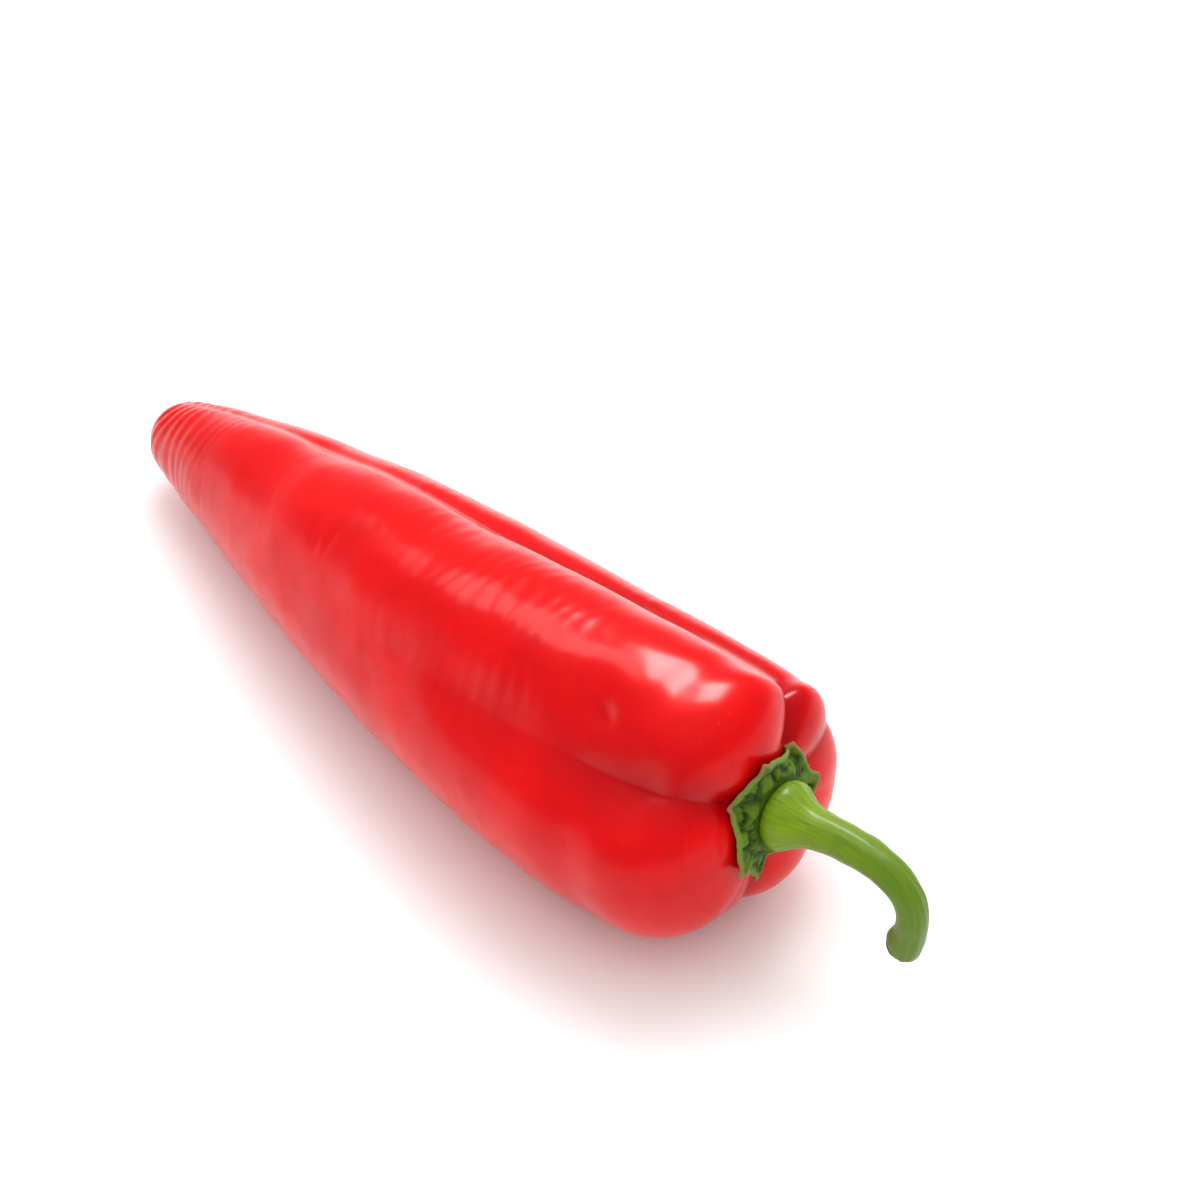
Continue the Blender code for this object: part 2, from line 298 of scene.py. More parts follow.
def skin_relief(points, along, angle, radius):
    """Heights over the plain skin: lumps, dents, cross ripples in patches, and rings at the tip."""
    past_crest = smooth(*RELIEF_START, along)
    height = LUMP_HEIGHT * past_crest * waves(points, LUMP_SIZE, 3)
    height += KNOLL_HEIGHT * past_crest * waves(points, KNOLL_SIZE, 5)
    for place, centre, length, width, depth in DENTS:
        away = np.radians(turned_from(angle, centre)) * radius
        height -= depth * hill(along - place, length) * hill(away, width)
    wander = RIPPLE_WANDER * waves(points, RIPPLE_WANDER_SIZE, 7)
    patches = smooth(*PATCH_EDGE, waves(points, PATCH_SIZE, 11)) * (1 - smooth(*RIPPLE_END, along))
    patches = (EVEN_RIPPLE + PATCH_RIPPLE * patches) * smooth(*RIPPLE_START, along)
    for place, centre, length, width in RIPPLED:
        away = np.radians(turned_from(angle, centre)) * radius
        patches += hill(along - place, length) * hill(away, width)
    ripples = np.sin(2 * np.pi * along / RIPPLE_SPACING + wander + RIPPLE_SLANT * angle)
    height += RIPPLE_HEIGHT * patches * ripples
    from_tip = FRUIT_LENGTH - along
    wander = RING_WANDER * waves(points, RING_WANDER_SIZE, 13)
    rings = np.sin(2 * np.pi * from_tip / RING_SPACING + wander)
    height += RING_HEIGHT * hill(from_tip, RING_REACH) * rings * smooth(0, RING_FADE, from_tip)
    return np.where(along < RELIEF_START[0], 0, height)


def closed_mesh(name, points, **attributes):
    """A mesh of quads from a grid that closes round its columns and ends in a point at each end.

    Each attribute is a grid of three values a point. Faces are wound to point outwards.
    """
    rows, columns = points.shape[:2]

    def packed(grid):
        return np.concatenate([grid[:1, 0], grid[1:-1].reshape(-1, 3), grid[-1:, 0]])

    vertices = packed(points)
    ring = 1 + np.arange((rows - 2) * columns).reshape(rows - 2, columns)
    beside = np.roll(ring, -1, axis=1)
    last = len(vertices) - 1
    quads = np.stack([ring[:-1], ring[1:], beside[1:], beside[:-1]], axis=-1).reshape(-1, 4)
    caps = np.concatenate([
        np.stack([np.zeros(columns, int), ring[0], beside[0]], axis=-1),
        np.stack([np.full(columns, last), beside[-1], ring[-1]], axis=-1),
    ])
    corners = vertices[caps]
    body = vertices[quads]
    volume = np.einsum("ij,ij->", corners[:, 0], np.cross(corners[:, 1], corners[:, 2]))
    volume += np.einsum("ij,ij->", body[:, 0] - body[:, 2], np.cross(body[:, 1], body[:, 3]))
    if volume < 0:
        quads, caps = quads[:, ::-1], caps[:, ::-1]
    mesh = bpy.data.meshes.new(name)
    mesh.vertices.add(len(vertices))
    mesh.vertices.foreach_set("co", vertices.ravel())
    mesh.loops.add(quads.size + caps.size)
    mesh.loops.foreach_set("vertex_index", np.concatenate([quads.ravel(), caps.ravel()]))
    mesh.polygons.add(len(quads) + len(caps))
    starts = np.concatenate([4 * np.arange(len(quads)), quads.size + 3 * np.arange(len(caps))])
    mesh.polygons.foreach_set("loop_start", starts)
    mesh.update(calc_edges=True)
    mesh.polygons.foreach_set("use_smooth", np.ones(len(starts), bool))
    for title, grid in attributes.items():
        layer = mesh.attributes.new(title, "FLOAT_VECTOR", "POINT")
        layer.data.foreach_set("vector", packed(grid).ravel())
    return mesh


def add_piece(name, mesh, material, node):
    """Adds a piece in place of a CAD node, riding on the one body that there is."""
    mesh.materials.append(material)
    piece = bpy.data.objects.new(name, mesh)
    bpy.context.scene.collection.objects.link(piece)
    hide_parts(node)
    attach(piece, "root")


class Signal:
    """One output socket of a shader; arithmetic on it adds Math nodes."""

    def __init__(self, tree, socket=None):
        self.tree = tree
        self.socket = socket

    def node(self, kind, sockets, output=0, **settings):
        """Adds a node: its settings first, then its sockets' values or links. Gives one output."""
        made = self.tree.nodes.new(kind)
        for name, value in settings.items():
            setattr(made, name, value)
        for name, value in sockets.items():
            if isinstance(value, Signal):
                self.tree.links.new(value.socket, made.inputs[name])
            else:
                made.inputs[name].default_value = value
        return Signal(self.tree, made.outputs[output])

    def math(self, operation, *values):
        """Adds a Math node; a value is a number or another signal."""
        return self.node("ShaderNodeMath", dict(enumerate(values)), operation=operation)

    def __add__(self, other):
        return self.math("ADD", self, other)

    def __radd__(self, other):
        return self.math("ADD", other, self)

    def __sub__(self, other):
        return self.math("SUBTRACT", self, other)

    def __rsub__(self, other):
        return self.math("SUBTRACT", other, self)

    def __mul__(self, other):
        return self.math("MULTIPLY", self, other)

    def __rmul__(self, other):
        return self.math("MULTIPLY", other, self)

    def __pow__(self, other):
        return self.math("POWER", self, other)

    def between(self, start, end):
        """Smoothstep from 0 at start to 1 at end."""
        sockets = {"Value": self, "From Min": start, "From Max": end}
        return self.node("ShaderNodeMapRange", sockets, interpolation_type="SMOOTHSTEP")

    def mix(self, low, high):
        """The colour low where this is 0, and high where it is 1."""
        sockets = {"Factor": self, "A": low, "B": high}
        return self.node("ShaderNodeMix", sockets, output="Result", data_type="RGBA")

    def noise(self, scale, detail, roughness):
        """Perlin noise at this vector, from 0 to 1, with so many cells a metre."""
        sockets = {"Vector": self, "Scale": scale, "Detail": detail, "Roughness": roughness}
        return self.node("ShaderNodeTexNoise", sockets)

    def stretched(self, scale):
        """This vector, with each axis scaled."""
        return self.node("ShaderNodeMapping", {"Vector": self, "Scale": scale})

    def parts(self):
        """The three numbers of this vector."""
        split = self.node("ShaderNodeSeparateXYZ", {"Vector": self})
        outputs = split.socket.node.outputs
        return [Signal(self.tree, socket) for socket in outputs]


def attribute(shader, name):
    """The three numbers that a mesh holds at each point under a name."""
    return shader.node("ShaderNodeAttribute", {}, output="Vector", attribute_name=name)


def bump(shader, height, distance, strength, normal=None):
    """Raises the shading by a height of 0 to 1 times a distance in metres."""
    sockets = {"Height": height, "Distance": distance, "Strength": strength}
    if normal is not None:
        sockets["Normal"] = normal
    return shader.node("ShaderNodeBump", sockets)


def new_finish(name, fixed):
    """A material, its tree and its Principled shader with the values that are the same all over."""
    material = bpy.data.materials.new(name)
    material.use_nodes = True
    principled = material.node_tree.nodes["Principled BSDF"]
    for socket, value in fixed.items():
        principled.inputs[socket].default_value = value
    return material, Signal(material.node_tree), principled


def feed(principled, **varying):
    """Links what changes over the surface to the Principled shader's sockets."""
    for name, signal in varying.items():
        socket = principled.inputs[name.replace("_", " ")]
        principled.id_data.links.new(signal.socket, socket)


def red_skin():
    """Waxy red: darker in the grooves as painted shade, mottled, with fine pores and a glassy wax over
    it.
    """
    material, shader, principled = new_finish("red_skin", {
        "IOR": 1.38,
        "Specular IOR Level": 0.04,
        "Coat Roughness": 0.22,
        "Coat IOR": 1.34,
        "Subsurface Weight": 0.08,
        "Subsurface Radius": (0.0040, 0.0006, 0.0004),
        "Subsurface Scale": 1.0,
    })
    place = shader.node("ShaderNodeTexCoord", {}, output="Object")
    groove, tip, end = attribute(shader, "grown").parts()
    cloud = place.noise(42.0, detail=3.0, roughness=0.55)
    mottle = place.noise(260.0, detail=3.0, roughness=0.6)
    flecks = place.noise(900.0, detail=2.0, roughness=0.5).between(0.68, 0.80)
    ripe = cloud.between(0.32, 0.68).mix(DARK_RED, RIPE_RED)
    mottled = (mottle.between(0.45, 0.75) * 0.35).mix(ripe, MOTTLED_RED)
    # Painted shade: the red darkens with the depth of the grooves.
    groove_shaded = (groove.between(0.25, 1.0) * 0.65).mix(mottled, GROOVE_SHADE_RED)
    flecked = (flecks * 0.16).mix(groove_shaded, FLECK_ORANGE)
    round_way = attribute(shader, "round")
    streaks = round_way.stretched((1.0, 1.0, 0.10)).noise(900.0, detail=3.0, roughness=0.6)
    tipped = (tip * streaks.between(0.45, 0.75) * 0.5).mix(flecked, TIP_RED)
    wrinkles = round_way.stretched((0.22, 0.22, 1.0)).noise(620.0, detail=4.0, roughness=0.62)
    pores = place.noise(1500.0, detail=2.0, roughness=0.5)
    fine = bump(shader, pores, distance=0.00002, strength=0.35)
    gathered = bump(shader, wrinkles, distance=0.00010, strength=0.30, normal=fine)
    feed(
        principled,
        Base_Color=tipped,
        Roughness=0.30 + 0.14 * cloud + 0.10 * wrinkles.between(0.5, 0.8) + 0.10 * tip,
        Coat_Weight=0.85 - 0.20 * mottle.between(0.4, 0.8) - 0.20 * end,
        Normal=gathered,
    )
    return material


share = np.linspace(0, 1, FRUIT_ROWS)[:, None]
angle = np.linspace(0, 360, FRUIT_COLUMNS, endpoint=False)[None, :]
share, angle = np.broadcast_arrays(share, angle)
along, radius = body_profile(share)
in_basin = share < BASIN_SHARE
skin = fruit_surface(along, radius, angle, in_basin)

# The fruit's place comes from its CAD node: the two share their middle in plan and their top.
node_low, node_high = (np.array(corner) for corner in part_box("fruit"))
skin_low, skin_high = skin.min(axis=(0, 1)), skin.max(axis=(0, 1))
settled = (node_low + node_high - skin_low - skin_high) / 2
settled[2] = node_high[2] - skin_high[2]

relief = skin_relief(skin, np.where(in_basin, 0, along), angle, radius)
skin = skin + outward(skin) * relief[..., None] + settled
skin[..., 2] = np.maximum(skin[..., 2], node_low[2])

turn = np.radians(angle)
# The first value is the groove depth, which steers the painted shade in the grooves.
grown = np.stack([
    groove_depth(angle, np.where(in_basin, 0, along)) / DEEP_GROOVE,
    hill(FRUIT_LENGTH - along, RING_REACH),
    1 - smooth(0, END_TINT, along),
], axis=-1)
round_it = np.stack([radius * np.cos(turn), radius * np.sin(turn), along], axis=-1)
fruit_mesh = closed_mesh("fruit_skin", skin, grown=grown, round=round_it)
add_piece("fruit_skin", fruit_mesh, red_skin(), "fruit")


# ---- Calyx ----
# The real calyx is what is left of the flower's sepals: a leathery green star that grew on to
# the stem end. It is crinkled between its veins, thicker and paler at its rim, and its points
# have dried brown and lift off the skin.

CLEARANCE = 0.0003           # gap between pieces that touch
CALYX_EDGE = 0.0011          # thickness near the rim
EDGE_POWER = 8               # how close to the rim it starts to round off
CALYX_PLATEAU = 0.0010       # how far its flat middle stands out past the crest
PLATEAU_MARGIN = 0.0004      # how much wider the flat middle is than the stem's foot
PLATEAU_BLEND = 0.0030       # width of the slope from the flat middle to the rim
NOTCH = 0.0026               # how deep its edge curves in between two points, per radian
STEM_FOOT_RADIUS = 0.0074

# The points of the calyx: angle and distance from its middle.
TEETH = (
    (-2.0, 0.0142),
    (46.0, 0.0150),
    (105.0, 0.0165),
    (144.0, 0.0159),
    (200.0, 0.0156),
    (235.0, 0.0152),
    (300.0, 0.0145),
)

# Small waves of the edge: their height, how many go round, and their phase.
EDGE_WAVES = (
    (0.00007, 31, 0),
    (0.00004, 53, 1),
)

TOOTH_WIDTH = 9.0            # half width of a point, in degrees
SPIKE_WIDTH = 3.0            # and of its dried end
TOOTH_SPIKE = 0.0009         # how far its dried end reaches past the star's outline
TOOTH_LIFT = 0.0011          # how far it lifts off the skin
RIM_LIFT = 0.0003
LIFT_START = 0.0045          # distance from the rim at which the lifting starts
RIM_BEAD = 0.00030           # height of the thicker rim
BEAD_WIDTH = 0.0007
CRINKLE_SIZE, CRINKLE_HEIGHT = 0.0050, 0.00042
PUCKER_SIZE, PUCKER_HEIGHT = 0.0022, 0.00014
FOLD_LEVEL = 0.8             # mean size of waves, taken off so that folds sink as much as they rise
FOLD_EDGE = (0.0005, 0.0026)   # distances from the rim between which folds and veins fade in
FOOT_EDGE = (-0.0004, 0.0014)  # distances from the stem's foot between which all relief does
VEIN_HEIGHT, VEIN_WIDTH = 0.00028, 2.6   # metres and degrees
RIM_TINT = (0.0016, 0.0002)  # distances from the rim between which it turns pale
POINT_TINT = 0.0024          # distance from the rim within which a point has dried
CALYX_COLUMNS, CALYX_ROWS = 560, 156

# The first two greens are painted shade in the folds and painted light on the ridges.
FOLD_SHADE_GREEN = (0.018, 0.048, 0.002, 1)
RIDGE_LIT_GREEN = (0.125, 0.225, 0.012, 1)
CLOUD_GREEN = (0.065, 0.140, 0.006, 1)
SPECKLE_GREEN = (0.130, 0.240, 0.025, 1)
RIM_GREEN = (0.185, 0.285, 0.050, 1)
DRIED_BROWN = (0.270, 0.150, 0.060, 1)


def calyx_edge(angle):
    """Radius of the star's edge: straight between two teeth, less a notch that peaks half way."""
    edge = np.zeros_like(angle)
    for (start, near), (end, far) in zip(TEETH, TEETH[1:] + ((TEETH[0][0] + 360, TEETH[0][1]),)):
        share = ((angle - start) % 360) / (end - start)
        arc = np.radians(end - start)
        between = near + (far - near) * share - NOTCH * arc * np.sin(np.pi * np.clip(share, 0, 1))
        edge = np.where(share < 1, between, edge)
    return edge


def near_tooth(angle, width):
    """1 along the middle of each point of the star, falling to 0 on both sides as a bell."""
    return np.max([hill(turned_from(angle, centre), width) for centre, _ in TEETH], axis=0)


def calyx_surface(share, angle):
    """The star's outer face on the first half of the rows and its under side on the rest.

    It follows the fruit's skin at a clearance, flat in the middle. Its rim and points lift off,
    and the outer face is raised by veins, by folds (the sizes of waves) and by a bead at its rim.
    Returns the points, the height to add to them, and the tint: rim, dried point, and fold height,
    which steers painted shade.
    """
    outer = share <= 0.5
    reach = np.where(outer, share, 1 - share) / 0.5
    edge = calyx_edge(angle) + TOOTH_SPIKE * near_tooth(angle, SPIKE_WIDTH)
    for rise, count, phase in EDGE_WAVES:
        edge += rise * np.sin(np.radians(angle) * count + phase)
    radius = edge * np.sin(np.pi / 2 * reach)
    rounded = CALYX_EDGE * np.sqrt(np.clip(1 - np.sin(np.pi / 2 * reach) ** EDGE_POWER, 0, 1))
    under = CLEARANCE + 0.5 * (CALYX_EDGE - rounded)
    tooth = near_tooth(angle, TOOTH_WIDTH)
    lift = (RIM_LIFT + TOOTH_LIFT * tooth) * smooth(LIFT_START, 0, edge - radius)
    outwards = np.where(outer, under + rounded, under) + lift
    hugged = fruit_surface(stem_end(radius), radius, angle, radius < CREST_RADIUS, outwards)
    plateau = STEM_FOOT_RADIUS + PLATEAU_MARGIN
    flat = 1 - smooth(plateau, plateau + PLATEAU_BLEND, radius)
    level = on_spine(end_slope(radius, angle) - CALYX_PLATEAU, radius, angle)
    points = np.where(outer[..., None], hugged + (level - hugged) * flat[..., None], hugged)
    folds = CRINKLE_HEIGHT * (np.abs(waves(points, CRINKLE_SIZE, 17)) - FOLD_LEVEL)
    folds += PUCKER_HEIGHT * (np.abs(waves(points, PUCKER_SIZE, 19)) - FOLD_LEVEL)
    veins = VEIN_HEIGHT * near_tooth(angle, VEIN_WIDTH)
    inside = smooth(*FOLD_EDGE, edge - radius)
    bead = RIM_BEAD * hill(edge - radius - BEAD_WIDTH, BEAD_WIDTH)
    clear_of_foot = smooth(*FOOT_EDGE, radius - STEM_FOOT_RADIUS)
    height = np.where(outer, ((folds + veins) * inside + bead) * clear_of_foot, 0)
    tint = np.stack([
        smooth(*RIM_TINT, edge - radius),
        tooth**2 * smooth(POINT_TINT, 0, edge - radius),
        # Fold height, which steers the painted shade in the folds.
        0.5 + height / (2 * CRINKLE_HEIGHT),
    ], axis=-1)
    return points, height, tint


def calyx_green():
    """Leathery green: painted shade, dark in the folds and paler on the ridges; paler at the rim,
    brown at the points.
    """
    material, shader, principled = new_finish("calyx_green", {
        "IOR": 1.45,
        "Specular IOR Level": 0.2,
        "Subsurface Weight": 0.06,
        "Subsurface Radius": (0.0008, 0.0012, 0.0004),
        "Subsurface Scale": 1.0,
    })
    place = shader.node("ShaderNodeTexCoord", {}, output="Object")
    rim, point, height = attribute(shader, "leaf").parts()
    grain = place.noise(1400.0, detail=3.0, roughness=0.6)
    cloud = place.noise(330.0, detail=2.0, roughness=0.5)
    # Painted shade: dark in the folds and paler on the ridges, by fold height.
    fold_shaded = height.between(0.10, 0.95).mix(FOLD_SHADE_GREEN, RIDGE_LIT_GREEN)
    clouded = (cloud.between(0.40, 0.70) * 0.55).mix(fold_shaded, CLOUD_GREEN)
    speckled = (grain.between(0.50, 0.75) * 0.40).mix(clouded, SPECKLE_GREEN)
    rimmed = (rim * 0.75).mix(speckled, RIM_GREEN)
    dried = (point * (0.55 + 0.45 * grain)).mix(rimmed, DRIED_BROWN)
    cells = shader.node("ShaderNodeTexVoronoi", {"Vector": place, "Scale": 1500.0})
    pebbled = bump(shader, cells, distance=0.00012, strength=0.5)
    grained = bump(shader, grain, distance=0.00012, strength=0.6, normal=pebbled)
    feed(
        principled,
        Base_Color=dried,
        Roughness=0.48 + 0.22 * grain,
        Normal=grained,
    )
    return material


share = np.linspace(0, 1, CALYX_ROWS)[:, None]
angle = np.linspace(0, 360, CALYX_COLUMNS, endpoint=False)[None, :]
share, angle = np.broadcast_arrays(share, angle)
star, star_height, star_tint = calyx_surface(share, angle)
star = star + outward(star) * star_height[..., None] + settled
calyx_mesh = closed_mesh("calyx_star", star, leaf=star_tint)
add_piece("calyx_star", calyx_mesh, calyx_green(), "calyx")


# ---- Stem ----
# The real stem is a juicy green stalk with soft ribs. It swells where it carried the fruit,
# bends over, and ends in a thicker joint where it was cut from the plant, now dried brown.

STEM_NECK_RADIUS = 0.0043    # just outside the foot's flare
STEM_RADIUS = 0.0030         # near the cut end
STEM_KNOB_RADIUS = 0.0036    # at the cut end
STEM_FLARE = 0.0060          # length of the foot's flare
STEM_KNOB = 0.0060           # length of the swelling at the cut end
STEM_REACH = 0.0315          # how far the stem goes out from the fruit
STEM_DRIFT = 0.0050          # how far it wanders towards +Y
STEM_DROP = 0.0200           # how far its end hangs below its foot

# The stem's two curves, as shares of its reach, drift and drop: where they meet, where they
# end, and the handles at both places.
STEM_BEND = (0.85, 0.85, -0.03)
STEM_END = (0.97, 1.00, -1.00)
BEND_HANDLE = (0.26, 0.16, -0.17)
END_HANDLE = (0.09, 0.00, 0.42)
FOOT_HANDLE = 0.35           # length of the handle at the foot
BEND_OUT = 0.78              # length of the bend's second handle against its first

FOOT_SINK = 0.0004           # how far the foot is sunk into the calyx
FOOT_ROUNDING = 0.0034       # height over which the foot's edge rounds in
FOOT_TUCK = 0.0014           # how much narrower the foot is where it meets the calyx
BULB_HEIGHT = 0.0007         # a swelling close to the foot
BULB_PLACE, BULB_LENGTH = 0.0030, 0.0026   # its distance from the foot and its half length

# Ribs: how many go round, their height, how they wind in radians a metre, and their phase.
RIBS = (
    (5, 0.00009, 55.0, 0.0),
    (11, 0.00004, -30.0, 1.0),
)

RIB_FADES = (0.0050, 0.0030)   # lengths over which they die out, at the foot and at the cut
STALK_LUMP_SIZE, STALK_LUMP_HEIGHT = 0.0060, 0.00005

CUT_ROUNDING = 0.0009        # length over which the cut end rounds off
CUT_WIDTH = 0.62             # width of the flat cut against the joint's
CUT_HOLLOW = 0.0005          # how deep the dried middle has sunk
LIP_HEIGHT = 0.0006          # the joint's lip, on the inside of the bend
LIP_PLACE, LIP_LENGTH = 0.0032, 0.0024   # its distance from the cut and its half length
LIP_SPAN = 0.80              # how far round it goes, where 2 is the outside of the bend
TEAR_SIZE, TEAR_HEIGHT = 0.0012, 0.00014   # roughness of the cut
TEAR_REACH = 0.0012          # how far it goes up the stem
SMOOTH_CORE = 0.25           # share of the cut's radius within which it dies out
SCAR_EDGE = (0.0036, 0.0016)   # distances from the cut between which the stem has dried
SCAR_SLANT = 0.0018          # the scar is twice this shorter on the outside of the bend

PATH_STEPS = 400             # points on each of the two curves
STEM_COLUMNS, STEM_ROWS = 224, 330
CAP_ROWS = 25                # rows that close each end

FOOT_LIME = (0.225, 0.345, 0.005, 1)
STALK_GREEN = (0.135, 0.240, 0.008, 1)
END_GREEN = (0.140, 0.205, 0.030, 1)
LINE_GREEN = (0.070, 0.180, 0.012, 1)
FIBRE_GREEN = (0.330, 0.450, 0.110, 1)
PATCH_GREEN = (0.105, 0.235, 0.020, 1)
SCAR_BROWN = (0.085, 0.040, 0.015, 1)
CORE_BROWN = (0.330, 0.210, 0.110, 1)
GRAIN_BROWN = (0.150, 0.085, 0.035, 1)


def level_point(radius, angle):
    """A point of the plane in which the stem's foot stands, clear of the calyx."""
    radius = np.array([radius])
    angle = np.array([angle])
    return on_spine(end_slope(radius, angle) - CALYX_PLATEAU - CLEARANCE, radius, angle)[0]


def bezier(share, start, out, into, end):
    """A cubic Bezier curve: the four points weighted by the cubic Bernstein polynomials."""
    left = 1 - share
    return left**3 * start + 3 * left**2 * share * out + 3 * left * share**2 * into + share**3 * end


def stem_path(count):
    """Points of the stem's middle line, evenly spaced, and their distances from the foot."""
    foot = level_point(0.0, 0.0)
    beside = level_point(STEM_FOOT_RADIUS, 0.0) - foot
    above = level_point(STEM_FOOT_RADIUS, 90.0) - foot
    outwards = np.cross(beside, above)
    outwards /= np.linalg.norm(outwards)
    size = np.array([STEM_REACH, STEM_DRIFT, STEM_DROP])
    bend = foot + STEM_BEND * size
    handle = BEND_HANDLE * size
    end = foot + STEM_END * size
    step = np.linspace(0, 1, PATH_STEPS)[:, None]
    first = bezier(step, foot, foot + outwards * FOOT_HANDLE * STEM_REACH, bend - handle, bend)
    second = bezier(step, bend, bend + handle * BEND_OUT, end + END_HANDLE * size, end)
    points = np.concatenate([[foot - outwards * FOOT_SINK], first, second[1:]])
    gone = np.concatenate([[0], np.cumsum(np.linalg.norm(np.diff(points, axis=0), axis=1))])
    even = np.linspace(0, gone[-1], count)
    return np.stack([np.interp(even, gone, points[:, axis]) for axis in range(3)], axis=-1), even


def stem_surface():
    """The stalk: a round section carried along its path, with ribs, a rounded foot and a joint.

    Its radius falls evenly, with bells added at the foot, close to it and at the cut end, and
    both ends round off as ellipses. Returns the points, the place of each in the fibres, and the
    tint: share of the length, scar, middle of the cut.
    """
    path, gone = stem_path(STEM_ROWS)
    length = gone[-1]
    left = length - gone
    radii = STEM_NECK_RADIUS + (STEM_RADIUS - STEM_NECK_RADIUS) * gone / length
    radii += (STEM_FOOT_RADIUS - STEM_NECK_RADIUS) * hill(gone, STEM_FLARE)
    radii += (STEM_KNOB_RADIUS - STEM_RADIUS) * hill(left, STEM_KNOB)
    radii += BULB_HEIGHT * hill(gone - BULB_PLACE, BULB_LENGTH)
    tucked = np.clip(1 - gone / FOOT_ROUNDING, 0, 1)
    radii -= FOOT_TUCK * (1 - np.sqrt(1 - tucked**2))
    rounding = np.clip(1 - left / CUT_ROUNDING, 0, 1)
    radii *= CUT_WIDTH + (1 - CUT_WIDTH) * np.sqrt(1 - rounding**2)
    along = np.gradient(path, axis=0)
    along /= np.linalg.norm(along, axis=1, keepdims=True)
    flat = np.cross(path[STEM_ROWS // 2] - path[0], path[-1] - path[STEM_ROWS // 2])
    flat /= np.linalg.norm(flat)
    over = np.cross(along, flat)
    over /= np.linalg.norm(over, axis=1, keepdims=True)
    side = np.cross(over, along)

    # Rows that close the foot come first, then the stalk's own, then rows that close the cut.
    ends = ((CAP_ROWS, CAP_ROWS), (0, 0))
    centre, along, over, side = (np.pad(rows, ends, "edge") for rows in (path, along, over, side))
    gone = np.pad(gone, CAP_ROWS, "edge")[:, None]
    left = length - gone
    opening = np.linspace(0, 1, CAP_ROWS, endpoint=False)
    closing = opening[::-1]
    size = np.concatenate([radii[0] * opening, radii, radii[-1] * closing])[:, None]
    cap = np.concatenate([np.zeros(CAP_ROWS + STEM_ROWS), 1 - closing])[:, None]
    centre[-CAP_ROWS:] -= along[-CAP_ROWS:] * (CUT_HOLLOW * (1 - closing**3))[:, None]

    turn = np.linspace(0, 2 * np.pi, STEM_COLUMNS, endpoint=False)[None, :]
    outside = 1 + np.cos(turn)    # 0 along the inside of the bend, 2 along the outside
    body = smooth(0, RIB_FADES[0], gone) * smooth(0, RIB_FADES[1], left)
    swell = LIP_HEIGHT * hill(left - LIP_PLACE, LIP_LENGTH) * hill(outside, LIP_SPAN)
    for count, rise, winding, phase in RIBS:
        swell = swell + rise * np.cos(count * turn + winding * gone + phase) * body
    across = (size + swell * (size > 0) * (1 - cap))[..., None]
    round_way = over[:, None] * np.cos(turn)[..., None] + side[:, None] * np.sin(turn)[..., None]
    points = centre[:, None] + round_way * across
    lumps = STALK_LUMP_HEIGHT * waves(points, STALK_LUMP_SIZE, 23) * body
    points += round_way * lumps[..., None]
    torn = TEAR_HEIGHT * waves(points, TEAR_SIZE, 29) * smooth(TEAR_REACH, 0, left)
    torn *= np.minimum(1, (1 - cap) / SMOOTH_CORE)
    points += along[:, None] * torn[..., None]

    shape = points.shape[:2]
    fibre = np.stack(np.broadcast_arrays(np.cos(turn), np.sin(turn), gone / STEM_RADIUS), axis=-1)
    tint = np.stack([
        np.broadcast_to(gone / length, shape),
        smooth(*SCAR_EDGE, left + SCAR_SLANT * outside),
        np.broadcast_to(cap, shape),
    ], axis=-1)
    return points, fibre, tint


def stem_green():
    """Yellow-green stalk: lime at its foot, duller to its end, with lengthwise lines and a dry cut."""
    material, shader, principled = new_finish("stem_green", {
        "IOR": 1.45,
        "Specular IOR Level": 0.15,
        "Coat Roughness": 0.25,
        "Subsurface Weight": 0.12,
        "Subsurface Radius": (0.0012, 0.0016, 0.0004),
        "Subsurface Scale": 1.0,
    })
    place = shader.node("ShaderNodeTexCoord", {}, output="Object")
    gone, cut, core = attribute(shader, "stalk").parts()
    lengthwise = attribute(shader, "fibre")
    lines = lengthwise.stretched((1.0, 1.0, 0.045)).noise(9.0, detail=4.0, roughness=0.62)
    fine_lines = lengthwise.stretched((1.0, 1.0, 0.03)).noise(26.0, detail=3.0, roughness=0.6)
    cloud = place.noise(260.0, detail=2.0, roughness=0.5)
    grain = place.noise(2200.0, detail=3.0, roughness=0.6)
    aged = gone.between(0.05, 0.60).mix(FOOT_LIME, STALK_GREEN)
    duller = (gone.between(0.60, 1.0) * 0.8).mix(aged, END_GREEN)
    lined = (lines.between(0.42, 0.72) * 0.60).mix(duller, LINE_GREEN)
    pale = (fine_lines.between(0.55, 0.80) * 0.25).mix(lined, FIBRE_GREEN)
    clouded = (cloud.between(0.50, 0.75) * 0.35).mix(pale, PATCH_GREEN)
    scar = core.between(0.25, 0.75).mix(SCAR_BROWN, CORE_BROWN)
    speckled = (grain.between(0.45, 0.70) * 0.55).mix(scar, GRAIN_BROWN)
    dried = (cut * (0.70 + 0.30 * grain)).mix(clouded, speckled)
    ridged = bump(shader, fine_lines, distance=0.00016, strength=0.45)
    pitted = bump(shader, grain, distance=0.00008, strength=0.35, normal=ridged)
    feed(
        principled,
        Base_Color=dried,
        Roughness=0.34 + 0.20 * lines + 0.30 * cut,
        Coat_Weight=0.20 - 0.20 * cut,
        Normal=pitted,
    )
    return material


stalk, stalk_fibre, stalk_tint = stem_surface()
stem_mesh = closed_mesh("stem_stalk", stalk + settled, stalk=stalk_tint, fibre=stalk_fibre)
add_piece("stem_stalk", stem_mesh, stem_green(), "stem")


# ---- Studio ----
# A white table in a bright room. A window and a light beyond the tip show only as highlights,
# and a weak overhead light gives the shadow its side. The room is brighter overhead and on the
# far side, but dark overhead in reflections, so that the red stays deep.

FLOOR_SIZE = 6.0             # metres along each side
FLOOR_GAP = 0.0001           # keeps the floor clear of the pepper's flat spot
TABLE_GREY = (0.94, 0.94, 0.94, 1)

